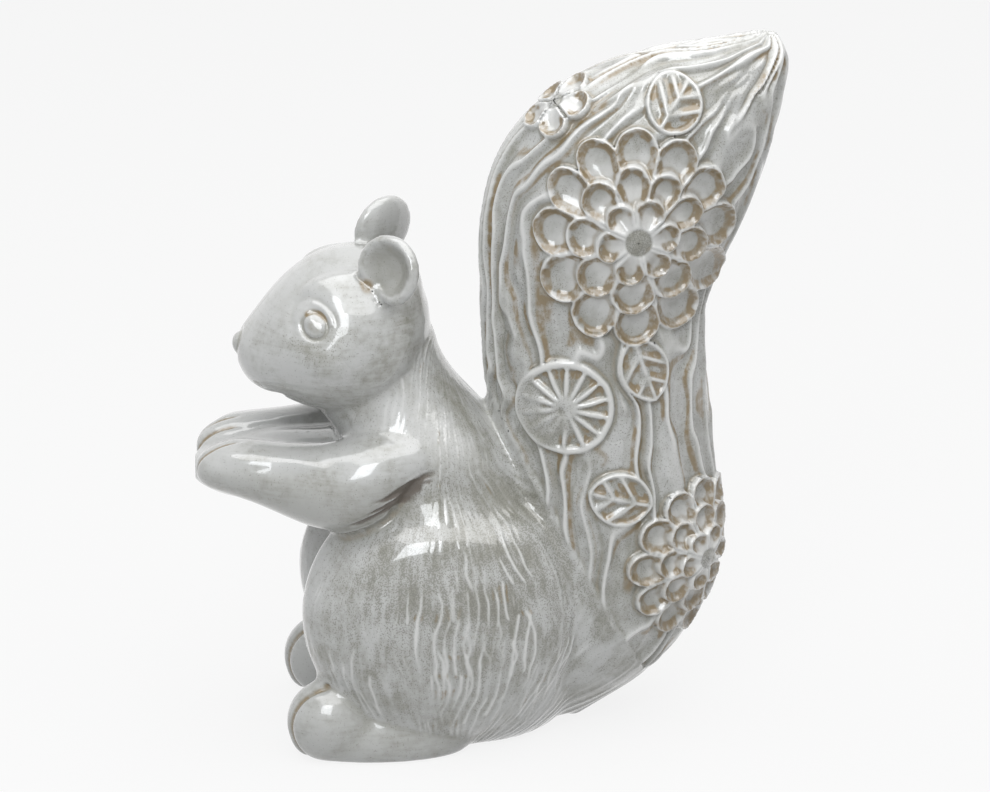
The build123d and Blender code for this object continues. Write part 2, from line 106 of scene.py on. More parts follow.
# Stretched balls of clay, by place and radii: two fill the gap between the forearms, and
# one fills the notch at the nape.
FILLERS = [
    ((0, -0.066, 0.0935), (0.018, 0.034, 0.0115)),
    ((0, -0.052, 0.0930), (0.019, 0.026, 0.0120)),
    ((0, -0.0285, 0.1445), (0.021, 0.0095, 0.0155)),
]

# How far the wall behind a cut piece goes in, in millimetres, and behind an eye or the nose.
WALL_DEPTH = 3.0
EYE_WALL_DEPTH = 1.5

# The clay forms, the parts whose gaps the skin stores, and its pieces with the CAD nodes
# that each one replaces.
EARS = ["left_ear", "right_ear"]
FACE = ["left_eye", "right_eye", "nose"]
LIMBS = ["left_arm", "right_arm", "left_foot", "right_foot"]
SPRIGS = [
    "left_dahlia", "right_dahlia", "back_dahlia", "blossom", "left_daisy", "right_daisy",
    "left_round_leaf", "right_round_leaf", "left_pointed_leaf", "right_pointed_leaf",
    "left_broad_leaf", "right_broad_leaf",
]
CLAY_NODES = ["body_shell", "head_shell", "tail_shell", *LIMBS, *EARS, *FACE]
PARTS = {
    "body": ["body_shell"],
    "head": ["head_shell", *FACE],
    **{name: [name] for name in EARS},
    "tail": ["tail_shell"],
    **{name: [name] for name in LIMBS},
}
PIECES = {
    "head": ["head_shell"],
    **{name: [name] for name in EARS + FACE},
    "body_left": ["body_shell"],
    "body_right": ["body_shell"],
    "tail_left": ["tail_shell"],
    "tail_right": ["tail_shell"],
    **{name: [name] for name in LIMBS + SPRIGS},
}

# Tail ovals from root to tip, as shares of the tail's depth, height and width: the y and z
# of the front, the y and z of the back, and the width. The widest one spans the tail.
TAIL_OVAL_SHARES = [
    (0.02, 0.060, 0.34, 0.003, 0.46),
    (0.03, 0.150, 0.55, 0.068, 0.86),
    (0.04, 0.260, 0.72, 0.152, 1.02),
    (0.04, 0.345, 0.79, 0.228, 1.04),
    (0.03, 0.425, 0.81, 0.312, 1.02),
    (0.02, 0.500, 0.785, 0.410, 0.97),
    (0.01, 0.560, 0.765, 0.520, 0.92),
    (0.00, 0.640, 0.755, 0.615, 0.90),
    (0.00, 0.720, 0.81, 0.690, 0.92),
    (0.03, 0.795, 0.88, 0.755, 0.94),
    (0.10, 0.858, 0.93, 0.815, 0.93),
    (0.25, 0.920, 0.97, 0.868, 0.84),
    (0.47, 0.963, 0.990, 0.917, 0.66),
    (0.70, 0.982, 1.000, 0.950, 0.45),
    (0.86, 0.995, 0.995, 0.973, 0.25),
]
TAIL_WIDTH_SHARE = 1.04

# Sprigs: places as shares of the tail's depth and height, sizes in millimetres, and turns
# in degrees from +Y towards +Z.
DAHLIA_PLACE_SHARES = (0.49, 0.742)
DAHLIA_RADIUS = 36
DAHLIA_RINGS = [
    (1.0, [90, 62, 34, 7, -27, -58, -90, -121, -154, 174, 145, 120]),
    (0.69, [95, 60, 28, -5, -46, -96, -142, 175, 134]),
    (0.41, [66, 6, -50, -105, -174, 129]),
]
DAHLIA_BUTTON = 4.7
DAHLIA_STRETCH = (0.92, 1.02)
BACK_DAHLIA_PLACE_SHARES = (0.577, 0.267)
BACK_DAHLIA_SWING = radians(40)
BACK_DAHLIA_RADIUS = 28
BACK_DAHLIA_RINGS = [
    (1.0, [90, 58, 30, 0, -31, -60, -90, -120, -150, 180, 148, 118]),
    (0.69, [95, 54, 15, -25, -65, -105, -145, 175, 134]),
    (0.41, [66, 6, -54, -114, -174, 126]),
]
BACK_DAHLIA_BUTTON = 3.6
BLOSSOM_PLACE_SHARES = (0.338, 0.872)
BLOSSOM_SLOPE = radians(45)
BLOSSOM_LEAN = radians(30)
BLOSSOM_RADIUS = 13
BLOSSOM_RINGS = [(1.0, [18, 90, 162, 234, 306])]
BLOSSOM_BUTTON = 3.1
DAISY_PLACE_SHARES = (0.265, 0.504)
DAISY_RADIUS = 16
DAISY_HUB = 2.6
DAISY_CELLS = 14
ROUND_LEAF_PLACE_SHARES = (0.61, 0.922)
ROUND_LEAF_SIZE = (18, 18)
ROUND_LEAF_TURN = radians(55)
POINTED_LEAF_PLACE_SHARES = (0.52, 0.555)
POINTED_LEAF_SIZE = (24, 16)
POINTED_LEAF_TURN = radians(290)
BROAD_LEAF_PLACE_SHARES = (0.445, 0.373)
BROAD_LEAF_SIZE = (22, 18)
BROAD_LEAF_TURN = radians(165)

# Heights and depths in millimetres: how far a flower stands up, each ring over the one
# before, and a petal's rim, cup and foot; a daisy's disc, dome, rim and cells; a leaf and
# its lines.
SPRIG_RAISE = 1.2
RING_STEP = 0.9
PETAL_RIM = 0.6
PETAL_CUP = 3.3
PETAL_FOOT = 0.3
DAISY_RAISE = 0.7
DAISY_DOME = 0.8
DAISY_RIM = 0.25
DAISY_CELL_DEPTH = 1.2
LEAF_RAISE = 0.75
LEAF_LINE = 0.45

# How much fuller a petal's round tip is than one that just meets its neighbours, and where
# a leaf's side veins leave the midrib, as shares of its length, and at what angle.
PETAL_FULLNESS = 1.04
VEIN_TURN = radians(48)
VEIN_SHARES = (-0.22, 0.12)

# Locks: how many there are from the tail's front edge to its back edge, how wide and high
# they are, at which lengths along the tail the tip's own locks take over, how far all of
# them sink, how they crowd towards the front edge, less the nearer this is to 1, how far
# each sprig bends them, and the glaze's millimetres to a radian round the tail.
LOCKS = 13
LOCK_WIDTH = 1.05
LOCK_HEIGHT = 1.1
TIP_LOCKS = 7
TIP_LOCK_WIDTH = 2.2
TIP_LOCK_HEIGHT = 1.2
TIP_LOCKS_START = 208
TIP_LOCKS_END = 240
LOCK_SINK = 0.35
LOCK_CROWDING = 0.75
DAHLIA_BEND = 0.18
DAISY_BEND = 0.4
LEAF_BEND = 0.5
AROUND_SCALE = 22

# Fur: the spacing, width and height of its lines, and the haunch that they bend with.
FUR_SPACING = 4.2
FUR_WIDTH = 0.55
FUR_HEIGHT = 0.42
HAUNCH_MIDDLE = (0, -17.0, 47.9)
HAUNCH_RADIUS = 46.5

# How many random values a mottle has each way before it repeats.
KNOTS = 89

# The glaze's unevenness: lumps to a metre, from large to small, and lumps to a millimetre
# across its runs and along them.
PATCHES = 24.0
SMOKE = 95.0
BLOTCHES = 420.0
GRAINS = 2000.0
RUNS_ACROSS = 0.9
RUNS_ALONG = 0.09

# The glaze's colours.
PALE = (0.475, 0.478, 0.468, 1)
OLIVE = (0.235, 0.232, 0.195, 1)
SPECK = (0.16, 0.156, 0.13, 1)
WHITE = (0.68, 0.68, 0.665, 1)
OCHRE = (0.20, 0.142, 0.064, 1)
BROWN = (0.075, 0.052, 0.035, 1)

# The face, in millimetres. Places are as seen from the side, y and z. The ball, the edge
# and the lid are distances from the eye's middle, and the cheek and the brow, which rises
# with its slope from start to end, are measured from there too. The nose's edge is a
# distance from the nose's middle.
EYE_PLACE = np.array([-58.1, 151.0])
EYE_BALL = 3.3
EYE_EDGE = 4.3
EYE_LID = 5.9
EYE_GROOVE = 0.7
CHEEK_OFFSET = (5, -15)
CHEEK_SWELL = 1.5
NOSE_EDGE = 4.0
MUZZLE_PLACE = np.array([-76.5, 129.5])
MUZZLE_SWELL = 3.0
MOUTH_PLACE = np.array([-69.5, 122.5])
MOUTH_DEPTH = 0.9
BROW_START = np.array([0.0, 11.5])
BROW_END = np.array([13.0, 12.5])
BROW_SLOPE = 0.08
BROW_HEIGHTS = (1.8, 1.3)
NOSE_PLACE = np.array([-82.0, 137.5])

# Each ear: the way that its dish faces, the turn, in degrees, at which its rim sinks, and
# how far it sinks along the axis and is drawn in towards it, in millimetres.
EAR_AXIS = np.array([0.75, -0.60, 0.20])
EAR_OPENING = -60
EAR_SINK = 3.2
EAR_DRAW = 1.8

# Arms and feet, in millimetres: the ridge along a forearm, from y to y at a height; the
# ends, seen from the side, and the depth of the crease under an arm; how far the grooves
# between the toes are from the middle plane, and each one's width, depth and ochre; and
# the haunch's rolled edge, with its radius, its swell and the valley over it.
ARM_RIDGE = (-88.0, -60.0, 104.0)
CREASE_START = np.array([-47.0, 84.5])
CREASE_END = np.array([-20.5, 101.5])
CREASE_DEPTH = 0.9
PAW_GROOVES = (6.0, 12.5)
PAW_GROOVE_FORM = (1.0, 0.8, 0.55)
FOOT_GROOVES = (23.0, 32.0)
FOOT_GROOVE_FORM = (1.3, 1.1, 0.5)
ROLL_RADIUS = 41.0
ROLL_SWELL = 0.5
ROLL_VALLEY = 3.6


def only(*pieces):
    """Selects these objects and no others, and makes the first one active."""
    bpy.ops.object.select_all(action="DESELECT")
    for piece in pieces:
        piece.select_set(True)
    bpy.context.view_layer.objects.active = pieces[0]


def clay_copy(node):
    """A copy of a clay form, with the points of its loose triangles merged."""
    mesh = frame["nodes"][node].data.copy()
    mesh.materials.clear()
    piece = bpy.data.objects.new(f"{node}_clay", mesh)
    bpy.context.collection.objects.link(piece)
    only(piece)
    bpy.ops.object.mode_set(mode="EDIT")
    bpy.ops.mesh.select_all(action="SELECT")
    bpy.ops.mesh.remove_doubles(threshold=0.01 * MM)
    bpy.ops.object.mode_set(mode="OBJECT")
    return piece


def merged_skin():
    """All the clay forms and the fillers as one skin of even squares. A plug in the drain
    hole closes the hollow inside, so that it fills up."""
    copies = [clay_copy(node) for node in CLAY_NODES]
    drain = next(o for o in frame["record"]["physics"]["openings"] if o["name"] == "drain_hole")
    low, high = (Vector(corner) for corner in drain["box_m"])
    middle = (low + high) / 2
    middle.z = 1.5 * PLUG_HEIGHT
    bpy.ops.object.select_all(action="DESELECT")
    bpy.ops.mesh.primitive_cylinder_add(radius=PLUG_RADIUS, depth=PLUG_HEIGHT, location=middle)
    added = [bpy.context.object]
    for place, radii in FILLERS:
        bpy.ops.mesh.primitive_uv_sphere_add(segments=48, ring_count=24, radius=1, location=place)
        bpy.context.object.scale = radii
        added.append(bpy.context.object)
    only(*copies, *added)
    bpy.ops.object.join()
    piece = bpy.context.object
    piece.name = "skin"
    remesh = piece.modifiers.new("Remesh", "REMESH")
    remesh.mode = "VOXEL"
    remesh.voxel_size = CLAY_GRAIN
    bpy.ops.object.modifier_apply(modifier=remesh.name)
    return piece


def points_of(mesh):
    """The mesh's points, in millimetres."""
    flat = np.empty(len(mesh.vertices) * 3)
    mesh.vertices.foreach_get("co", flat)
    return flat.reshape(-1, 3) / MM


def normals_of(mesh):
    """The direction that the skin faces at each point."""
    flat = np.empty(len(mesh.vertices) * 3, np.float32)
    mesh.vertex_normals.foreach_get("vector", flat)
    return flat.reshape(-1, 3).astype(float)


def edges_of(mesh):
    """The two ends of each edge."""
    flat = np.empty(len(mesh.edges) * 2, np.int32)
    mesh.edges.foreach_get("vertices", flat)
    return flat.reshape(-1, 2)


def place_points(mesh, points):
    """Puts the mesh's points at places in millimetres."""
    mesh.vertices.foreach_set("co", (points * MM).ravel())
    mesh.update()


def neighbour_mean(values, edges):
    """The mean of each point's neighbours, for one value or several columns."""
    count = np.maximum(np.bincount(edges.ravel(), minlength=len(values)), 1)
    means = []
    for column in values.reshape(len(values), -1).T:
        total = np.bincount(edges[:, 0], column[edges[:, 1]], len(values))
        total += np.bincount(edges[:, 1], column[edges[:, 0]], len(values))
        means.append(total / count)
    return np.array(means).T.reshape(values.shape)


def rub(values, edges, strength, times):
    """Softens values over the skin by moving each towards its neighbours' mean."""
    for _ in range(times):
        values = values + strength * (neighbour_mean(values, edges) - values)
    return values


def distances(mesh, nodes):
    """How far each point is from each of these CAD nodes, in millimetres, up to REACH."""
    depsgraph = bpy.context.evaluated_depsgraph_get()
    found = {}
    places = [vertex.co.copy() for vertex in mesh.vertices]
    for node in nodes:
        tree = BVHTree.FromObject(frame["nodes"][node], depsgraph)
        low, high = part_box(node)
        far = np.full(len(places), REACH)
        for index, place in enumerate(places):
            apart = max(low.x - place.x, place.x - high.x, low.y - place.y,
                        place.y - high.y, low.z - place.z, place.z - high.z)
            if apart < REACH:
                hit = tree.find_nearest(place, REACH)
                if hit[3] is not None:
                    far[index] = hit[3]
        found[node] = far / MM
    return found


def write_values(mesh, name, values):
    """Stores one value for each point under a name that materials can read."""
    attribute = mesh.attributes.get(name) or mesh.attributes.new(name, "FLOAT", "POINT")
    attribute.data.foreach_set("value", values.astype(np.float32))


def read_values(mesh, name):
    """The values that a name holds for the mesh's points."""
    values = np.empty(len(mesh.vertices), np.float32)
    mesh.attributes[name].data.foreach_get("value", values)
    return values.astype(float)


def soft(low, high, values):
    """A soft step from 0 at low to 1 at high."""
    share = np.clip((values - low) / (high - low), 0, 1)
    return share * share * (3 - 2 * share)


def bump(values, middle, width):
    """A soft bump, 1 at the middle."""
    return np.exp(-(((values - middle) / width) ** 2))


def mottle(across, along, seed):
    """Soft random values from -1 to 1 over a plane, with one knot to a unit."""
    knots = np.random.default_rng(seed).uniform(-1, 1, (KNOTS, KNOTS))
    column = np.floor(across).astype(int)
    row = np.floor(along).astype(int)
    u = soft(0, 1, across - column)
    v = soft(0, 1, along - row)
    left, right = column % KNOTS, (column + 1) % KNOTS
    near, far = row % KNOTS, (row + 1) % KNOTS
    front = knots[left, near] * (1 - u) + knots[right, near] * u
    back = knots[left, far] * (1 - u) + knots[right, far] * u
    return front * (1 - v) + back * v


class Relief:
    """What stands on the skin at each point: its height in millimetres, how white, ochre
    and speckled the glaze is there, the white taking in painted light on the upper body, how
    deep in a brown crease it lies, how much olive it takes from the glaze's own colour and
    from painted shade, and its place round the form and along it, which the glaze's runs follow."""

    def __init__(self, count):
        self.height = np.zeros(count)
        self.white = np.zeros(count)
        self.ochre = np.zeros(count)
        self.speckle = np.full(count, 0.05)
        self.crease = np.zeros(count)
        # Olive from the eyes' own darker glaze and the darker rings round eyes and nose, and painted
        # shade under the head, in the ear dishes, on the paws and feet and along the arm creases.
        self.olive_and_painted_shade = np.zeros(count)
        self.around = np.zeros(count)
        self.along = np.zeros(count)

    def lay(self, cover, height, white, ochre, speckle):
        """Lays something over what is there, as far as it covers each point."""
        self.height += cover * (height - self.height)
        self.white += cover * (white - self.white)
        self.ochre += cover * (ochre - self.ochre)
        self.speckle += cover * (speckle - self.speckle)


class Tail:
    """The tail's own directions: along it from root to tip, and round it from its front
    edge to its back edge."""

    def __init__(self):
        low, high = (np.array(corner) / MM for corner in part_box("tail_shell"))
        self.corner = low[1]
        self.depth = high[1] - low[1]
        self.height = high[2]
        width = 2 * high[0] / TAIL_WIDTH_SHARE
        rows = np.array(TAIL_OVAL_SHARES)
        self.fronts = np.stack([low[1] + rows[:, 0] * self.depth, rows[:, 1] * self.height], 1)
        self.backs = np.stack([low[1] + rows[:, 2] * self.depth, rows[:, 3] * self.height], 1)
        self.halves = rows[:, 4] * width / 2
        middles = (self.fronts + self.backs) / 2
        steps = np.hypot(*np.diff(middles, axis=0).T)
        self.lengths = np.concatenate([[0], np.cumsum(steps)])

    def place(self, shares):
        """A place in the side view, in millimetres, from shares of the depth and height."""
        return np.array([self.corner + shares[0] * self.depth, shares[1] * self.height])

    def coordinates(self, points):
        """Along in millimetres, the angle round from the front edge, and the mean radius
        there."""
        side = points[:, 1:]
        runs = self.backs - self.fronts
        ups = np.stack([-runs[:, 1], runs[:, 0]], 1)
        ups /= np.hypot(*ups.T)[:, None]
        above = np.stack([(side - f) @ u for f, u in zip(self.fronts, ups)], 1)
        last = len(runs) - 1
        section = np.clip((above > 0).sum(1) - 1, 0, last - 1)
        rows = np.arange(len(points))
        before = above[rows, section]
        after = above[rows, section + 1]
        share = np.clip(before / np.where(before - after == 0, 1, before - after), 0, 1)
        place = section + share
        index = np.arange(len(runs))
        front = np.stack([np.interp(place, index, self.fronts[:, k]) for k in (0, 1)], 1)
        back = np.stack([np.interp(place, index, self.backs[:, k]) for k in (0, 1)], 1)
        half = np.interp(place, index, self.halves)
        run = back - front
        length = np.hypot(*run.T)
        crossing = 1 - 2 * ((side - front) * run).sum(1) / length**2
        angle = np.arctan2(np.abs(points[:, 0]) / half, crossing)
        along = np.interp(place, index, self.lengths)
        return along, angle, (length / 2 + half) / 2


def petal_ring(across, up, radius, turns):
    """How deep inside its petal's outline each point lies, in millimetres, and how far out
    along the petal, 1 at the tip. The turns are the petals' directions."""
    count = len(turns)
    order = np.sort(np.array(turns) % 360)
    knots = np.concatenate([order[-1:] - 360, order, order[:1] + 360])
    angle = np.degrees(np.arctan2(up, across)) % 360
    place = np.interp(angle, knots, np.arange(-1, count + 1))
    turn = (place - np.round(place)) * 2 * pi / count
    reach = np.hypot(across, up)
    along = reach * np.cos(turn)
    aside = reach * np.abs(np.sin(turn))
    half = sin(pi / count)
    tip = radius * half / (1 + half) * PETAL_FULLNESS
    knee = radius - tip
    inside = np.where(along > knee, tip - np.hypot(along - knee, aside), tip * along / knee - aside)
    return inside, along / radius


def lay_flower(relief, across, up, facing, radius, rings, button):
    """Rings of cupped petals, each ring over the one before, and a round button. Returns
    how far the flower covers each point, as the other sprigs do."""
    wander = mottle(across / 2.4, up / 2.4, 11)
    sway = mottle(across / 7, up / 7, 12)
    whole = np.zeros(len(across))
    for level, (share, turns) in enumerate(rings):
        inside, out = petal_ring(across, up, radius * share, turns)
        inside = inside + 0.25 * sway + 0.12 * wander
        cover = soft(-0.6, 0.35, inside) * facing
        rim = bump(inside, 0.5, 0.8)
        cup = (1 - np.exp(-np.maximum(inside - 0.3, 0) / 2.4)) * soft(0.1, 0.75, out)
        foot = soft(0.95, 0.6, out) * soft(0.5, 2.2, inside)
        height = SPRIG_RAISE + level * RING_STEP + PETAL_RIM * rim - PETAL_CUP * cup + PETAL_FOOT * foot
        patch = soft(-0.9, 0.3, wander + 0.4 * sway + 0.2)
        ochre = 1.1 * bump(inside, 1.6, 1.1) * soft(0.35, 0.7, out) * patch
        olive = 0.1 + 0.7 * soft(0.6, 0.95, out) * soft(0.8, 2.2, inside) * soft(0.4, -0.6, sway)
        relief.lay(cover, height, np.clip(0.55 * rim + 0.75 * foot, 0, 1), ochre, olive)
        whole = np.maximum(whole, cover)
    reach = np.hypot(across, up)
    dome = np.sqrt(np.clip(1 - (reach / button) ** 2, 0, 1))
    top = SPRIG_RAISE + (len(rings) - 1) * RING_STEP
    relief.lay(
        soft(button + 0.3, button - 0.5, reach) * facing,
        top - 0.7 + 1.0 * dome, 0.35 * bump(reach, button, 0.6), 0.2 * wander + 0.15, 1.3,
    )
    return whole


def lay_daisy(relief, across, up, facing, radius, hub, cells):
    """A low disc with a thin rim, and a ring of narrow cells with ribs between, worn on
    one side. Returns how far it covers each point."""
    sway = mottle(across / 6, up / 6, 13)
    reach = np.hypot(across, up) * (1 + 0.03 * sway)
    turn = np.arctan2(up, across) * cells / (2 * pi) + 0.12 * sway
    wall = np.abs(turn - np.round(turn)) * 2 * pi / cells * reach
    half_step = pi / cells * reach
    inside = half_step - wall
    end = radius - 1.6 - reach
    inside = np.where(end < 1.8, end * soft(0, 1, inside / 1.2), inside)
    inside = np.minimum(inside, reach - hub - 0.4)
    worn = soft(-0.55, 0.4, 0.9 * sway + 0.045 * (across + 0.8 * up) + 0.1)
    cell = soft(0.25, 1.5, inside) * (0.3 + 0.7 * worn)
    rim = bump(reach, radius - 0.9, 0.8)
    dome = DAISY_DOME * (1 - (reach / radius) ** 2)
    height = DAISY_RAISE + dome + DAISY_RIM * rim - DAISY_CELL_DEPTH * cell
    white = (0.15 + 0.2 * rim + 0.3 * worn) * (1 - cell)
    ochre = bump(inside, 1.5, 0.8) * soft(0.45, 0.8, reach / radius) * worn
    ochre = ochre * soft(-0.3, 0.4, mottle(across / 2.2, up / 2.2, 6))
    hole = bump(np.hypot(across + 1.5, up + 1.0), 0, 1.5)
    cover = soft(-0.7, 0.5, radius - reach) * facing
    relief.lay(cover, height - 0.6 * hole, white * (1 - hole), ochre, 0.8 + 0.4 * cell + hole)
    return cover


def lay_leaf(relief, across, up, facing, size, turn):
    """A leaf between two arcs, with a rim, a midrib and two pairs of side veins."""
    length, width = size
    along = across * cos(turn) + up * sin(turn)
    aside = np.abs(-across * sin(turn) + up * cos(turn))
    arc = (length**2 + width**2) / (4 * width)
    inside = arc - np.hypot(along, aside + arc - width / 2)
    vein = aside
    for share in VEIN_SHARES:
        run = (along - share * length) * cos(VEIN_TURN) + aside * sin(VEIN_TURN)
        gap = np.abs(-(along - share * length) * sin(VEIN_TURN) + aside * cos(VEIN_TURN))
        vein = np.minimum(vein, np.where(run > 0, gap, 9))
    sway = mottle(across / 3.5, up / 3.5, 8)
    rim = bump(inside, 0.4, 0.6)
    rib = bump(vein, 0, 0.6) * soft(0, 1.5, inside) * (0.75 + 0.25 * sway)
    line = np.maximum(rim, rib)
    blade = soft(0.6, 2.0, np.minimum(inside, vein))
    ochre = bump(np.minimum(inside - 0.4, vein), 1.4, 0.8) * soft(-0.5, 0.4, sway)
    cover = soft(-0.6, 0.35, inside) * facing
    height = LEAF_RAISE + LEAF_LINE * line - LEAF_RAISE * blade
    relief.lay(cover, height, 0.6 * line, ochre, 0.8)
    return cover


def turned_aside(angle, gap, centre_angle, radius, strength):
    """The angle round the tail, bent so that locks flow past a sprig."""
    pull = strength * radius**2 / np.maximum(gap, radius) ** 2 * bump(gap, radius, 1.6 * radius)
    pull = np.where(gap < radius, strength, pull)
    return angle + pull * (centre_angle - angle)


def lay_locks(relief, tail, points, cover):
    """Raised lines along the tail, which join two by two towards its tip, with channels
    and pools of ochre between."""
    along, angle, girth = tail.coordinates(points)
    side = points[:, 1:]
    for shares, radius, strength in (
        (DAHLIA_PLACE_SHARES, DAHLIA_RADIUS, DAHLIA_BEND),
        (DAISY_PLACE_SHARES, DAISY_RADIUS, DAISY_BEND),
        (ROUND_LEAF_PLACE_SHARES, ROUND_LEAF_SIZE[1] / 2, LEAF_BEND),
        (POINTED_LEAF_PLACE_SHARES, POINTED_LEAF_SIZE[1] / 2, LEAF_BEND),
        (BROAD_LEAF_PLACE_SHARES, BROAD_LEAF_SIZE[1] / 2, LEAF_BEND),
    ):
        middle = tail.place(shares)
        centre = tail.coordinates(np.array([[tail.halves.mean(), *middle]]))[1][0]
        gap = np.hypot(*(side - middle).T)
        angle = turned_aside(angle, gap, centre, radius, strength)
    near_tip = soft(TIP_LOCKS_START, TIP_LOCKS_END, along)
    total = 0
    for count, width, raise_by, share, seed in (
        (LOCKS, LOCK_WIDTH, LOCK_HEIGHT, 1 - near_tip, 1),
        (TIP_LOCKS, TIP_LOCK_WIDTH, TIP_LOCK_HEIGHT, near_tip, 41),
    ):
        phase = count * (np.maximum(angle, 0.01) / pi) ** LOCK_CROWDING
        phase += 0.75 * mottle(along / 30, angle * 3, seed)
        phase += 0.26 * mottle(along / 10, angle * 6, seed + 1)
        line = np.round(phase)
        offset = (phase - line) * pi * girth / count / LOCK_CROWDING
        offset = offset * (np.maximum(angle, 0.05) / pi) ** (1 - LOCK_CROWDING)
        gap = np.abs(offset)
        strength = 0.45 + 0.55 * soft(-0.9, 0.1, mottle(along / 26, line * 5.3, seed + 2))
        ridge = bump(gap, 0, width) * strength
        channel = (0.5 - 0.5 * np.cos(2 * pi * (phase - line))) * (0.7 + 0.5 * strength)
        pool = bump(offset, 2.1, 0.8) * soft(-0.4, 0.2, mottle(along / 13, line * 3.7 + 20, seed + 3))
        pool += bump(offset, -2.1, 0.8) * soft(0.0, 0.5, mottle(along / 12, line * 4.1 + 50, seed + 4))
        layer = np.stack([raise_by * (0.8 * ridge - channel + 0.15), ridge, 0.8 * pool * strength])
        total = total + share * layer
    height, ridge, pool = total
    relief.lay(cover, height - LOCK_SINK, 0.6 * ridge, np.clip(pool, 0, 1), 0.6)
    relief.around += cover * (angle * AROUND_SCALE - relief.around)
    relief.along += cover * (along - relief.along)


def lay_fur(relief, points, middle, radius, cover):
    """Short wavy white lines down the body, which bend with the haunch."""
    x, y, z = points.T
    lift = np.clip((z - middle[2]) / (1.25 * radius), -0.9, 0.9)
    swell = np.sqrt(1 - lift**2)
    turn = np.arctan2(np.abs(x), -(y - middle[1]) / swell)
    around = turn * radius
    lower = soft(95, 55, z) * soft(35, 70, around)
    total = 0
    for spacing, seed in ((FUR_SPACING, 21), (0.8 * FUR_SPACING, 27)):
        phase = around / spacing + 0.75 * mottle(z / 15, around / 14, seed)
        phase += 0.22 * mottle(z / 5, around / 8, seed + 1)
        line = np.round(phase)
        gap = np.abs(phase - line) * spacing
        strength = soft(0.0, 0.4, mottle(z / 10, line * 4.7, seed + 2) + 0.4 * lower - 0.05)
        ridge = bump(gap, 0, FUR_WIDTH) * strength
        dip = soft(0.4, 1.6, gap) * strength
        pool = bump(gap, 1.3, 0.6) * soft(0.5, 0.8, mottle(z / 7, line * 3.3, seed + 3)) * strength
        total = np.maximum(total, np.stack([ridge, 0.5 * dip, pool]))
    ridge, dip, pool = total
    strokes = mottle(around / 1.6, z / 7, 33) * (0.35 + 0.65 * soft(20, 60, around))
    height = FUR_HEIGHT * (ridge - dip) * (0.45 + 0.55 * lower) + 0.1 * strokes
    lined = 0.35 + 0.65 * soft(-0.3, 0.5, mottle(around / 9, z / 12, 34))
    lined *= 1 - 0.95 * soft(74, 58, around) * soft(58, 72, z) * soft(122, 104, z)
    busy = soft(25, 60, around) * bump(z, 68, 27)
    relief.lay(cover, height * lined, 0.8 * ridge * lined, 0.6 * pool * lined,
               0.4 + 1.1 * busy * (1 - 0.5 * ridge) + 0.5 * strokes)
    relief.around += cover * (around - relief.around)
    relief.along += cover * (z - relief.along)


def facing_side(points):
    """1 on each flank, less near the middle plane, where the skin turns over an edge."""
    return soft(3.0, 8.0, np.abs(points[:, 0]))


def lay_side_sprigs(relief, tail, points):
    """The sprigs that lie on both flanks of the tail, each laid over the locks. Returns
    how far each one covers each point."""
    flank = facing_side(points)
    sprigs = (
        ("round_leaf", ROUND_LEAF_PLACE_SHARES, lay_leaf, (ROUND_LEAF_SIZE, ROUND_LEAF_TURN)),
        ("pointed_leaf", POINTED_LEAF_PLACE_SHARES, lay_leaf, (POINTED_LEAF_SIZE, POINTED_LEAF_TURN)),
        ("broad_leaf", BROAD_LEAF_PLACE_SHARES, lay_leaf, (BROAD_LEAF_SIZE, BROAD_LEAF_TURN)),
        ("daisy", DAISY_PLACE_SHARES, lay_daisy, (DAISY_RADIUS, DAISY_HUB, DAISY_CELLS)),
        ("dahlia", DAHLIA_PLACE_SHARES, lay_flower, (DAHLIA_RADIUS, DAHLIA_RINGS, DAHLIA_BUTTON)),
    )
    covers = {}
    for name, shares, lay, form in sprigs:
        across, up = (points[:, 1:] - tail.place(shares)).T
        if name == "dahlia":
            across = across / DAHLIA_STRETCH[0]
            up = up / DAHLIA_STRETCH[1]
        covers[name] = lay(relief, across, up, flank, *form)
    return covers


def lay_turned_flower(relief, points, normals, middle, axis, right, form):
    """A flower whose axis leans out from the middle plane."""
    upward = np.cross(axis, right)
    away = points - middle
    facing = soft(0.12, 0.42, normals @ axis) * (away @ axis > 0)
    return lay_flower(relief, away @ right, away @ upward, facing, *form)


def lay_edge_flowers(relief, tail, points, normals):
    """The flower that bends round the back edge, and the blossom near the top."""
    swing = np.array([cos(BACK_DAHLIA_SWING), sin(BACK_DAHLIA_SWING), 0])
    middle = np.array([0, *tail.place(BACK_DAHLIA_PLACE_SHARES)])
    form = (BACK_DAHLIA_RADIUS, BACK_DAHLIA_RINGS, BACK_DAHLIA_BUTTON)
    right = np.array([-swing[1], swing[0], 0])
    back = lay_turned_flower(relief, points, normals, middle, swing, right, form)
    slope = np.array([0, cos(BLOSSOM_SLOPE), sin(BLOSSOM_SLOPE)])
    lean = np.array([
        sin(BLOSSOM_LEAN), -cos(BLOSSOM_LEAN) * slope[2], cos(BLOSSOM_LEAN) * slope[1],
    ])
    middle = np.array([0, *tail.place(BLOSSOM_PLACE_SHARES)])
    form = (BLOSSOM_RADIUS, BLOSSOM_RINGS, BLOSSOM_BUTTON)
    top = lay_turned_flower(relief, points, normals, middle, lean, slope, form)
    return back, top


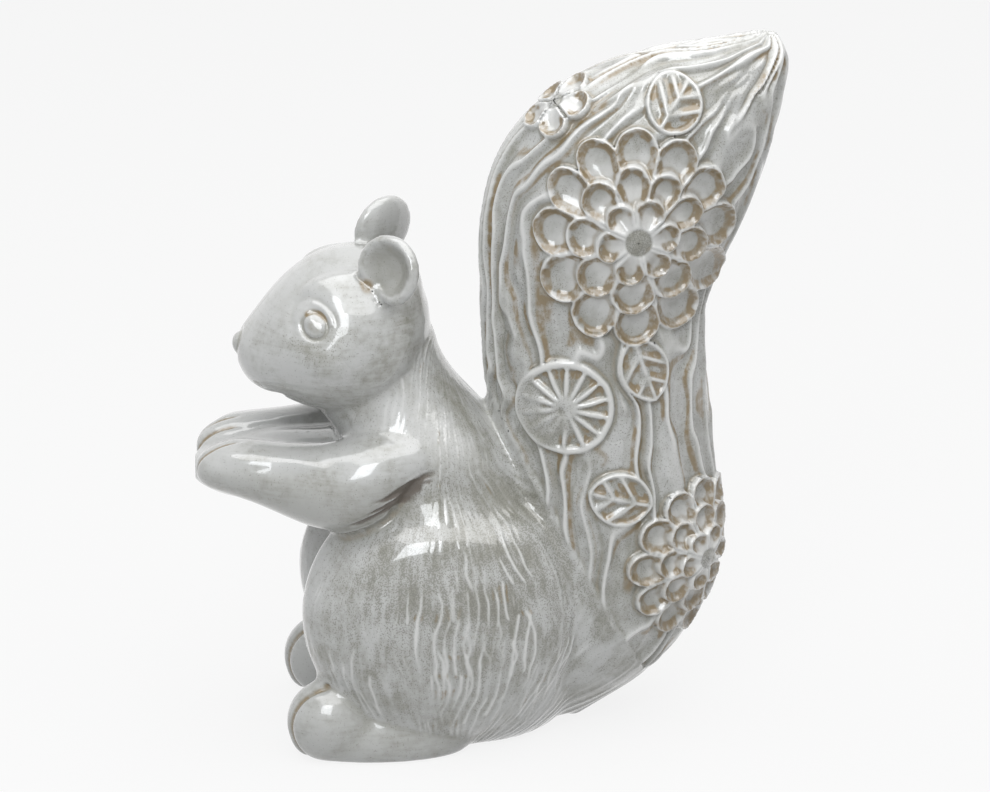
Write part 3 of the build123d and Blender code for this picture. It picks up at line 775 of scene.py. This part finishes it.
def lay_face(relief, points, cover):
    """On each side of the head an eye in its socket, a lid over it and a brow, and in
    front a full muzzle with a notch for the mouth."""
    away = points[:, 1:] - EYE_PLACE
    reach = np.hypot(*away.T)
    turn = np.degrees(np.arctan2(away[:, 1], -away[:, 0]))
    over = soft(-25, 15, turn) * soft(200, 160, turn)
    side = cover * soft(8, 14, np.abs(points[:, 0]))
    ball = np.sqrt(np.clip(1 - (reach / EYE_BALL) ** 2, 0, 1))
    lid = bump(reach, EYE_LID, 0.9) * over
    shift = np.clip(away[:, 0], BROW_START[0], BROW_END[0])
    rise = BROW_START[1] + (shift - BROW_START[0]) * BROW_SLOPE
    brow = bump(np.hypot(away[:, 0] - shift, away[:, 1] - rise), 0, 4.5)
    brow *= np.interp(shift, [BROW_START[0], BROW_END[0]], BROW_HEIGHTS)
    groove = bump(reach, EYE_EDGE, 0.8)
    height = 0.2 * ball + 0.3 * lid + brow * soft(12, 17, np.abs(points[:, 0]))
    height -= EYE_GROOVE * groove
    height -= 0.9 * bump(reach, 4.0, 5.0) + 0.2 * bump(reach, 7.4, 0.8) * over
    cheek = np.hypot(away[:, 0] - CHEEK_OFFSET[0], away[:, 1] - CHEEK_OFFSET[1])
    height += CHEEK_SWELL * bump(cheek, 0, 8.0)
    relief.height += side * height
    # Olive on the eye's ball, and painted shade that darkens the head below 140 mm.
    relief.olive_and_painted_shade += side * 0.25 * ball + cover * 0.1 * soft(140, 126, points[:, 2])
    relief.ochre += side * 0.24 * ball
    relief.ochre += side * 0.75 * groove * soft(20, 60, turn) * soft(170, 130, turn)
    # Darker in the groove round the eye and in a band over it.
    relief.olive_and_painted_shade += side * (0.22 * groove + 0.1 * bump(reach, 10.0, 2.5) * over)
    relief.speckle += side * 0.6 * bump(reach, 9.0, 4.0) * soft(-10, -60, turn)
    muzzle = np.hypot(*(points[:, 1:] - MUZZLE_PLACE).T)
    relief.height += cover * MUZZLE_SWELL * bump(muzzle, 0, 9.0)
    mouth = np.hypot(*(points[:, 1:] - MOUTH_PLACE).T)
    relief.height -= cover * MOUTH_DEPTH * bump(mouth, 0, 2.2)
    nose = np.sqrt(points[:, 0] ** 2 + ((points[:, 1:] - NOSE_PLACE) ** 2).sum(1))
    relief.height += cover * (0.4 * bump(nose, 0, 2.4) - 0.6 * bump(nose, NOSE_EDGE, 1.2))
    relief.olive_and_painted_shade += cover * 0.3 * bump(nose, 3.8, 0.9)


def from_ear(points):
    """How each point lies from the middle of its side's ear, in millimetres, as if it were
    on the left; the ear's axis, and how far the point is along it."""
    low, high = (np.array(corner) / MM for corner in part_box("left_ear"))
    away = points.copy()
    away[:, 0] = np.abs(away[:, 0])
    away = away - (low + high) / 2
    axis = EAR_AXIS / np.linalg.norm(EAR_AXIS)
    return away, axis, away @ axis


def open_ears(points):
    """The lower front of each ear's rim sinks to the head, so that the dish opens there."""
    away, axis, lift = from_ear(points)
    flat = away - lift[:, None] * axis
    reach = np.sqrt((flat**2).sum(1))
    turn = np.degrees(np.arctan2(flat[:, 2], -flat[:, 1]))
    sunk = bump(turn, EAR_OPENING, 32) * bump(reach, 10, 4.5) * soft(-9, -4, lift)
    shift = -EAR_SINK * sunk[:, None] * axis
    shift = shift - EAR_DRAW * (sunk / np.maximum(reach, 1))[:, None] * flat
    shift[:, 0] *= np.sign(points[:, 0])
    return points + shift


def lay_ears(relief, points, normals):
    """The dish of each ear, darkened with olive as painted shade, and the ochre at its root."""
    away, axis, lift = from_ear(points)
    facing = normals.copy()
    facing[:, 0] *= np.sign(points[:, 0])
    reach = np.sqrt(np.maximum((away**2).sum(1) - lift**2, 0))
    dish = soft(10.5, 7.5, reach) * soft(0.2, 0.6, facing @ axis) * soft(-8, -4, lift)
    root = bump(np.hypot(away[:, 1] + 7.0, away[:, 2] + 6.0), 0, 2.4) * soft(13, 11, reach)
    root *= soft(0.0, 0.5, facing @ axis) * soft(-8, -4, lift)
    # Painted shade inside the dish.
    relief.olive_and_painted_shade += dish * 0.16
    relief.ochre += 0.8 * root
    relief.height -= 0.5 * dish * soft(8.5, 4.0, reach)


def groove_between(relief, gap, cover, width, depth, ochre):
    """A rounded groove along a line, from how far each point is from the line."""
    line = bump(gap, 0, width) * cover
    relief.height -= depth * line
    relief.ochre += ochre * line


def lay_toes(relief, points, gap):
    """The grooves between the toes of the paws and the feet, the ridge along each forearm,
    and painted shade in olive on both, on the paws below the forearm's top."""
    x, y, z = points.T
    apart = np.abs(x)
    paw = soft(0.8, 0.0, np.minimum(gap["left_arm"], gap["right_arm"]))
    tips = soft(-80, -87, y) * paw
    for place in PAW_GROOVES:
        groove_between(relief, apart - place, tips, *PAW_GROOVE_FORM)
    start, end, height = ARM_RIDGE
    ridge = bump(z, height, 1.8) * soft(start - 4, start + 4, y) * soft(end + 8, end - 4, y)
    relief.height += 0.9 * ridge * paw * soft(11, 15, apart)
    # Painted shade: the paws are darker below the forearm's top, from 104 mm down to 98 mm.
    relief.olive_and_painted_shade += 0.18 * paw * soft(104, 98, z)
    foot = soft(0.8, 0.0, np.minimum(gap["left_foot"], gap["right_foot"]))
    # Painted shade over the feet.
    relief.olive_and_painted_shade += 0.14 * foot
    tips = soft(-42, -50, y) * foot
    for place in FOOT_GROOVES:
        groove_between(relief, apart - place, tips, *FOOT_GROOVE_FORM)


def lay_haunch_roll(relief, points, cover):
    """The rounded upper edge of each haunch, with a shallow valley over it."""
    away = points[:, 1:] - np.array(HAUNCH_MIDDLE[1:])
    depth = ROLL_RADIUS - np.hypot(*away.T)
    turn = np.degrees(np.arctan2(away[:, 1], away[:, 0]))
    cover = cover * soft(40, 75, turn) * soft(178, 145, turn) * soft(18, 30, np.abs(points[:, 0]))
    roll = ROLL_SWELL * bump(depth, 8.0, 6.0)
    relief.height += cover * (roll - ROLL_VALLEY * bump(depth, -5.0, 9.0))


def lay_crease(relief, points):
    """The dark crease under each arm, where it meets the body, with a band of painted shade along it.
    """
    run = CREASE_END - CREASE_START
    length = np.hypot(*run)
    away = points[:, 1:] - CREASE_START
    along = away @ run / length
    aside = (away[:, 1] * run[0] - away[:, 0] * run[1]) / length
    inside = soft(-3, 3, along) * soft(length + 4, length - 2, along)
    inside *= soft(16, 22, np.abs(points[:, 0]))
    hairs = soft(-0.5, 0.6, mottle(along / 7 + aside / 4, aside / 0.9 + along / 6, 31))
    taper = np.sin(pi * np.clip(along / length, 0, 1))
    crease = bump(aside, 0, 1.2 + 2.2 * taper + 0.8 * mottle(along / 3, aside * 0, 32)) * inside
    relief.height -= CREASE_DEPTH * crease * hairs
    relief.crease += np.clip(1.6 * crease * (0.15 + hairs), 0, 1) * (0.5 + 0.5 * taper)
    # Painted shade in a band along the crease.
    relief.olive_and_painted_shade += 0.12 * bump(aside, -1, 4) * inside


def smooth_clay(mesh):
    """Stores how far the skin is from each form, then rubs its valleys soft and opens the
    ears."""
    gaps = distances(mesh, CLAY_NODES)
    for part, nodes in PARTS.items():
        write_values(mesh, f"{part}_gap", np.min([gaps[node] for node in nodes], axis=0))
    fine = soft(3.5, 0.8, np.min([gaps[node] for node in EARS + FACE], axis=0))
    edges = edges_of(mesh)
    points = points_of(mesh)
    share = RUB_STRENGTH * (1 - (1 - FINE_SHARE) * rub(fine, edges, RUB_STRENGTH, 4))
    for _ in range(JOIN_RUBS):
        points += share[:, None] * (neighbour_mean(points, edges) - points)
    points = open_ears(points)
    points[:, 2] = np.maximum(points[:, 2], 0)
    place_points(mesh, points)


def divide(piece):
    """Quarters each face of the skin, which gives it room for the reliefs."""
    only(piece)
    finer = piece.modifiers.new("Subdivision", "SUBSURF")
    finer.levels = 1
    finer.render_levels = 1
    bpy.ops.object.modifier_apply(modifier=finer.name)


def hollows(points, normals, edges):
    """How far each point lies under the skin around it, in millimetres: more than 0 in a
    hollow and less than 0 on an edge."""
    around = rub(points, edges, 1.0, HOLLOW_RUBS)
    return ((around - points) * normals).sum(1)


def cover_of(part, gap, low, high):
    """1 where the skin is this part's, and 0 where another part is nearer. It goes from 0
    to 1 as the others' gap, less its own, goes from low to high."""
    others = np.min([gap[other] for other in PARTS if other != part], axis=0)
    return soft(low, high, others - gap[part])


def raise_reliefs(mesh):
    """Raises the reliefs on the skin, stores what the glaze needs, and returns the number
    of the piece that each point belongs to."""
    points = points_of(mesh)
    normals = normals_of(mesh)
    edges = edges_of(mesh)
    store_directions(mesh, "outward", normals)
    gap = {part: read_values(mesh, f"{part}_gap") for part in PARTS}
    relief = Relief(len(points))
    relief.around = points[:, 2].copy()
    relief.along = points[:, 1].copy()
    tail = Tail()
    on_tail = cover_of("tail", gap, -1.0, 1.2)
    on_body = cover_of("body", gap, -1.5, 2.5)
    lay_fur(relief, points, HAUNCH_MIDDLE, HAUNCH_RADIUS, on_body)
    lay_locks(relief, tail, points, on_tail)
    covers = lay_side_sprigs(relief, tail, points)
    covers["back_dahlia"], covers["blossom"] = lay_edge_flowers(relief, tail, points, normals)
    lay_face(relief, points, cover_of("head", gap, -1.5, 2.0))
    lay_ears(relief, points, normals)
    lay_toes(relief, points, gap)
    lay_crease(relief, points)
    lay_haunch_roll(relief, points, on_body)
    # The upper body is painted whiter: painted light from above, over paler streaks in the glaze.
    relief.white += 0.5 * on_body * soft(92, 112, points[:, 2]) * soft(16, 26, np.abs(points[:, 0]))
    height = rub(relief.height, edges, RUB_STRENGTH, 1)
    points += normals * height[:, None]
    low, high = (np.array(corner) / MM for corner in cad_box)
    points = np.clip(points, np.maximum(low, [-np.inf, -np.inf, 0]), high)
    place_points(mesh, points)
    dip = hollows(points, normals, edges)
    relief.white = np.clip(relief.white + 0.5 * soft(0.05, 0.35, -dip), 0, 1)
    relief.ochre = np.clip(relief.ochre + 0.35 * soft(0.1, 0.4, dip), 0, 1)
    for name in ("white", "ochre", "speckle", "crease", "around", "along"):
        write_values(mesh, name, rub(getattr(relief, name), edges, RUB_STRENGTH, 1))
    # Olive goes by the skin's hollows, where the glaze pools, and by the painted shade.
    write_values(mesh, "hollow", dip + relief.olive_and_painted_shade)
    return piece_numbers(points, gap, covers, on_tail)


def piece_numbers(points, gap, covers, on_tail):
    """The place in PIECES of the piece that each point belongs to."""
    names = list(PIECES)
    nearest = np.argmin([gap[part] for part in PARTS], axis=0)
    number = np.zeros(len(points), int)
    left = points[:, 0] > 0
    for index, part in enumerate(PARTS):
        here = nearest == index
        if part in ("body", "tail"):
            number[here & left] = names.index(f"{part}_left")
            number[here & ~left] = names.index(f"{part}_right")
        else:
            number[here] = names.index(part)
    on_head = nearest == list(PARTS).index("head")
    eye = on_head & (np.hypot(*(points[:, 1:] - EYE_PLACE).T) < EYE_EDGE)
    number[eye & left] = names.index("left_eye")
    number[eye & ~left] = names.index("right_eye")
    nose = ((points - [0, *NOSE_PLACE]) ** 2).sum(1) < NOSE_EDGE**2
    number[on_head & nose] = names.index("nose")
    for name, cover in covers.items():
        here = (cover > 0.5) & (on_tail > 0.5)
        if name in ("back_dahlia", "blossom"):
            number[here] = names.index(name)
        else:
            number[here & left] = names.index(f"left_{name}")
            number[here & ~left] = names.index(f"right_{name}")
    return number


def separated(skin, numbers):
    """Cuts the skin into its pieces, still open behind, and returns them by name."""
    mesh = skin.data
    corners = np.empty(len(mesh.loops), np.int32)
    mesh.loops.foreach_get("vertex_index", corners)
    starts = np.empty(len(mesh.polygons), np.int32)
    mesh.polygons.foreach_get("loop_start", starts)
    for name in PIECES:
        mesh.materials.append(bpy.data.materials.new(name))
    mesh.polygons.foreach_set("material_index", numbers[corners[starts]].astype(np.int32))
    only(skin)
    bpy.ops.object.mode_set(mode="EDIT")
    bpy.ops.mesh.select_all(action="SELECT")
    bpy.ops.mesh.separate(type="MATERIAL")
    bpy.ops.object.mode_set(mode="OBJECT")
    pieces = {}
    for piece in list(bpy.context.selected_objects):
        name = piece.data.materials[piece.data.polygons[0].material_index].name
        pieces[name] = piece
        piece.name = f"{name}_glazed"
        piece.data.name = piece.name
    return pieces


def close_behind(piece, depth):
    """Closes the opening that cutting the piece free has left, with a wall inwards and a
    face across it, and gives the piece the even shine of the uncut skin."""
    only(piece)
    bpy.ops.object.mode_set(mode="EDIT")
    bpy.ops.mesh.select_mode(type="VERT")
    bpy.ops.mesh.select_all(action="DESELECT")
    bpy.ops.mesh.select_non_manifold()
    bpy.ops.mesh.extrude_region()
    bpy.ops.object.mode_set(mode="OBJECT")
    mesh = piece.data
    facing = read_directions(mesh, "facing")
    outward = read_directions(mesh, "outward")
    pushed = np.empty(len(mesh.vertices), bool)
    mesh.vertices.foreach_get("select", pushed)
    points = points_of(mesh)
    points -= depth * outward * pushed[:, None]
    points[:, 2] = np.maximum(points[:, 2], 0)
    place_points(mesh, points)
    bpy.ops.object.mode_set(mode="EDIT")
    bpy.ops.mesh.fill_holes(sides=0)
    bpy.ops.mesh.quads_convert_to_tris(quad_method="SHORTEST_DIAGONAL", ngon_method="BEAUTY")
    bpy.ops.object.mode_set(mode="OBJECT")
    bpy.ops.object.shade_smooth()
    mesh.normals_split_custom_set_from_vertices(facing.tolist())


def store_directions(mesh, name, directions):
    """Stores a direction for each point, for the pieces cut from the skin."""
    attribute = mesh.attributes.new(name, "FLOAT_VECTOR", "POINT")
    attribute.data.foreach_set("vector", directions.astype(np.float32).ravel())


def read_directions(mesh, name):
    """The directions that a name holds for the mesh's points."""
    flat = np.empty(len(mesh.vertices) * 3, np.float32)
    mesh.attributes[name].data.foreach_get("vector", flat)
    return flat.reshape(-1, 3)


class Channel:
    """A number or colour of a material as it varies over the surface. Arithmetic on it
    adds the nodes."""

    def __init__(self, recipe, socket):
        self.recipe = recipe
        self.socket = socket

    def maths(self, operation, *values):
        return self.recipe.node("ShaderNodeMath", {"operation": operation}, dict(enumerate(values)))

    def __add__(self, other):
        return self.maths("ADD", self, other)

    def __sub__(self, other):
        return self.maths("SUBTRACT", self, other)

    def __rsub__(self, other):
        return self.maths("SUBTRACT", other, self)

    def __mul__(self, other):
        return self.maths("MULTIPLY", self, other)

    __radd__ = __add__
    __rmul__ = __mul__


class Recipe:
    """The nodes of one material, or of the world. A socket goes by its name or by its
    number, because some names occur twice in a node."""

    def __init__(self, name="", world=None):
        self.material = world or bpy.data.materials.new(name)
        self.material.use_nodes = True
        self.tree = self.material.node_tree
        self.tree.nodes.clear()

    def node(self, kind, settings, sockets, output=0):
        """Adds a node: its settings first, then the values or links of its sockets."""
        node = self.tree.nodes.new(kind)
        for name, value in settings.items():
            if name == "stops":
                ramp = node.color_ramp
                while len(ramp.elements) < len(value):
                    ramp.elements.new(0.5)
                for element, (place, colour) in zip(ramp.elements, value):
                    element.position = place
                    element.color = colour
            else:
                setattr(node, name, value)
        for name, value in sockets.items():
            if isinstance(value, Channel):
                self.tree.links.new(value.socket, node.inputs[name])
            else:
                node.inputs[name].default_value = value
        return Channel(self, node.outputs[output]) if node.outputs else None

    def mixed(self, share, first, second):
        """A colour between two, by a share from 0 to 1."""
        return self.node(
            "ShaderNodeMix", {"data_type": "RGBA", "clamp_factor": True},
            {0: share, 6: first, 7: second}, 2,
        )

    def between(self, low, high, value, start=0.0, end=1.0):
        """A soft step from start to end as the value goes from low to high."""
        return self.node(
            "ShaderNodeMapRange", {"interpolation_type": "SMOOTHSTEP"},
            {0: value, 1: low, 2: high, 3: start, 4: end},
        )

    def noise(self, where, scale, detail):
        """Soft random values with so many lumps to a unit."""
        return self.node("ShaderNodeTexNoise", {}, {"Vector": where, "Scale": scale, "Detail": detail})

    def seen(self):
        """1 where the camera looks, straight or by way of something that shines."""
        camera, glossy, through = (self.node("ShaderNodeLightPath", {}, {}, k) for k in (0, 3, 6))
        return camera + glossy + through

    def stored(self, name):
        """A value that the skin carries."""
        return self.node("ShaderNodeAttribute", {"attribute_name": name}, {}, 2)


def make_glaze():
    """The runny glaze: a speckled grey that breaks white on ridges, greys with olive in
    hollows and where shade is painted, and pools ochre beside the raised lines."""
    recipe = Recipe("glaze")
    where = recipe.node("ShaderNodeTexCoord", {}, {}, 3)
    run = recipe.node("ShaderNodeCombineXYZ", {}, {
        0: recipe.stored("around") * RUNS_ACROSS, 1: recipe.stored("along") * RUNS_ALONG,
    })
    patch = recipe.noise(where, PATCHES, 2.0)
    smoke = recipe.noise(where, SMOKE, 4.0)
    blotch = recipe.noise(where, BLOTCHES, 3.0)
    streak = recipe.noise(run, 1.0, 3.0)
    grain = recipe.noise(where, GRAINS, 1.0)
    # Olive where the glaze pools in hollows, and where shade is painted.
    hollow = recipe.stored("hollow")
    speckle = recipe.stored("speckle")
    tone = patch * 0.3 + smoke * 0.35 + blotch * 0.2 + streak * 0.15 + speckle * 0.09
    colour = recipe.mixed(recipe.between(0.44, 0.73, tone), PALE, OLIVE)
    colour = recipe.mixed(recipe.between(0.0, 0.3, hollow) * 0.7, colour, OLIVE)
    crowd = speckle * 0.13 + recipe.between(0.42, 0.66, tone) * 0.04 - 0.07
    speck = recipe.between(0.60, 0.70, grain + crowd)
    colour = recipe.mixed(speck * 0.6, colour, SPECK)
    white = recipe.stored("white")
    colour = recipe.mixed(recipe.between(0.1, 1.0, white + streak * 0.3 - 0.15) * 0.8, colour, WHITE)
    broken = recipe.between(0.36, 0.56, blotch * 0.6 + streak * 0.4)
    ochre = recipe.between(0.12, 0.6, recipe.stored("ochre")) * (broken * 0.6 + 0.4)
    colour = recipe.mixed(ochre * 0.95, colour, OCHRE)
    crease = recipe.between(0.15, 0.8, recipe.stored("crease") + grain * 0.4 - 0.2)
    colour = recipe.mixed(crease * 0.85, colour, BROWN)
    ripple = blotch * 0.7 + grain * 0.05
    normal = recipe.node("ShaderNodeBump", {}, {"Height": ripple, "Distance": 0.00008, "Strength": 0.4})
    roughness = recipe.between(0.3, 0.75, patch, 0.16, 0.3) + crease * 0.3
    shader = recipe.node("ShaderNodeBsdfPrincipled", {}, {
        "Base Color": colour, "Roughness": roughness, "IOR": 1.5, "Normal": normal,
        "Coat Weight": 1.0, "Coat Roughness": 0.03,
    })
    recipe.node("ShaderNodeOutputMaterial", {}, {"Surface": shader})
    return recipe.material


def make_floor():
    """A plain pale floor. What is seen of it is white, but for the shadow."""
    recipe = Recipe("floor")
    where = recipe.node("ShaderNodeTexCoord", {}, {}, 3)
    colour = recipe.mixed(recipe.noise(where, 6.0, 2.0), *FLOOR_TONES)
    plain = recipe.node("ShaderNodeBsdfDiffuse", {}, {"Color": colour})
    bright = recipe.node("ShaderNodeEmission", {}, {"Color": PLAIN_WHITE, "Strength": 1.0})
    share = recipe.seen() * FLOOR_GLOW
    shader = recipe.node("ShaderNodeMixShader", {}, {0: share, 1: plain, 2: bright})
    recipe.node("ShaderNodeOutputMaterial", {}, {"Surface": shader})
    return recipe.material


def direction(azimuth, elevation):
    """The way out from the squirrel to a camera or a lamp. Azimuth 0 is before its face."""
    return Vector((
        sin(azimuth) * cos(elevation), -cos(azimuth) * cos(elevation), sin(elevation),
    ))


def make_camera():
    """The photograph's camera."""
    away = direction(CAMERA_AZIMUTH, CAMERA_ELEVATION)
    bpy.ops.object.camera_add(
        location=CAMERA_TARGET + CAMERA_DISTANCE * away,
        rotation=away.to_track_quat("Z", "Y").to_euler(),
    )
    camera = bpy.context.object
    camera.data.lens = CAMERA_LENS
    camera.data.sensor_width = SENSOR_WIDTH
    camera.data.clip_start = 0.05
    camera.data.clip_end = 20
    bpy.context.scene.camera = camera


def add_softbox(azimuth, elevation, distance, size, strength, colour):
    """A flat lamp that faces the squirrel. Its strength is how bright it looks, where a
    white wall in plain light is 1."""
    away = direction(radians(azimuth), radians(elevation))
    bpy.ops.object.light_add(
        type="AREA", location=CAMERA_TARGET + distance * away,
        rotation=away.to_track_quat("Z", "Y").to_euler(),
    )
    lamp = bpy.context.object.data
    lamp.shape = "RECTANGLE"
    lamp.size, lamp.size_y = size
    lamp.energy = strength * size[0] * size[1] * pi
    lamp.color = colour


def light_room():
    """Plain pale walls all round, a softbox like a window, above the camera and to one
    side of it, and a large softbox overhead."""
    world = bpy.data.worlds.new("room")
    bpy.context.scene.world = world
    recipe = Recipe(world=world)
    walls = recipe.node("ShaderNodeBackground", {}, {"Color": PLAIN_WHITE, "Strength": ROOM_LIGHT})
    white = recipe.node("ShaderNodeBackground", {}, {"Color": PLAIN_WHITE, "Strength": 1.0})
    view = recipe.node("ShaderNodeMixShader", {}, {0: recipe.seen(), 1: walls, 2: white})
    recipe.node("ShaderNodeOutputWorld", {}, {"Surface": view})
    add_softbox(*WINDOW)
    add_softbox(*OVERHEAD)


def make_squirrel():
    """The squirrel's pieces, cut from one skin."""
    skin = merged_skin()
    smooth_clay(skin.data)
    divide(skin)
    numbers = raise_reliefs(skin.data)
    store_directions(skin.data, "facing", normals_of(skin.data))
    glaze = make_glaze()
    for name, piece in separated(skin, numbers).items():
        close_behind(piece, EYE_WALL_DEPTH if name in FACE else WALL_DEPTH)
        piece.data.materials.clear()
        piece.data.materials.append(glaze)
        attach(piece, "root")
        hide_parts(*PIECES[name])


make_camera()
make_squirrel()
bpy.ops.object.select_all(action="DESELECT")
bpy.ops.mesh.primitive_plane_add(size=FLOOR_SIZE, location=(0, 0, 0))
floor = bpy.context.object
floor.name = "floor"
floor.data.materials.append(make_floor())
floor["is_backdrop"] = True
light_room()

boxes = {"cad": cad_box, "visual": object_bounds()}
{name: [list(corner) for corner in box] for name, box in boxes.items()}
